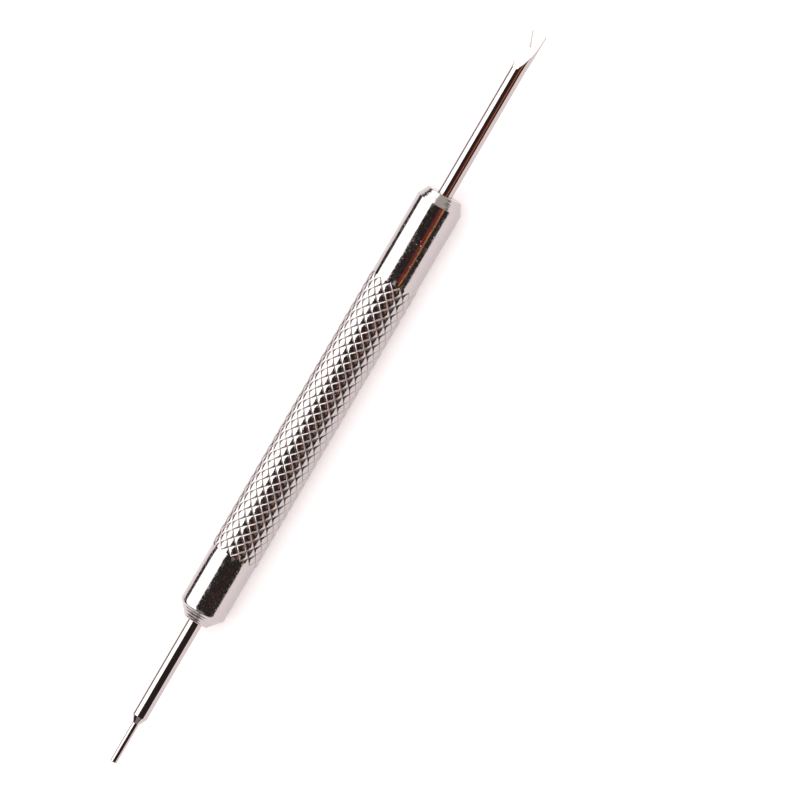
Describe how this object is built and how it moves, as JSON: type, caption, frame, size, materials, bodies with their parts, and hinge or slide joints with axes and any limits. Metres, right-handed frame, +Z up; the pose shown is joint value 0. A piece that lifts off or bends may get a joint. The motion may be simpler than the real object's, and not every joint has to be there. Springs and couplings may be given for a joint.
{
  "type": "spring bar tool",
  "caption": "Watchmaker's spring bar tool: diamond-knurled metal handle with a screw-in forked bit at one end and a screw-in push-pin bit at the other.",
  "frame": {"origin": "on the surface that the tool lies on, below the middle of its overall length", "axes": "+X along the tool from the push pin to the fork; +Z up, square to the fork's flats; +Y across the fork's width"},
  "size_m": [0.135, 0.0082, 0.0081],
  "materials": {
    "plated_handle": "polished bright nickel plate over a knurled and turned bar",
    "polished_steel": "hardened steel, polished bright, with faint grinding lines"
  },
  "bodies": {
    "handle": {"handle": "plated_handle"},
    "fork_bit": {"fork_bit": "polished_steel"},
    "pin_bit": {"pin_bit": "polished_steel"}
  },
  "joints": [
    {"name": "fork_bit_unscrew", "type": "slide", "parent": "handle", "child": "fork_bit", "axis": [1, 0, 0], "range_m": [0, 0.012]},
    {"name": "pin_bit_unscrew", "type": "slide", "parent": "handle", "child": "pin_bit", "axis": [-1, 0, 0], "range_m": [0, 0.012]}
  ]
}
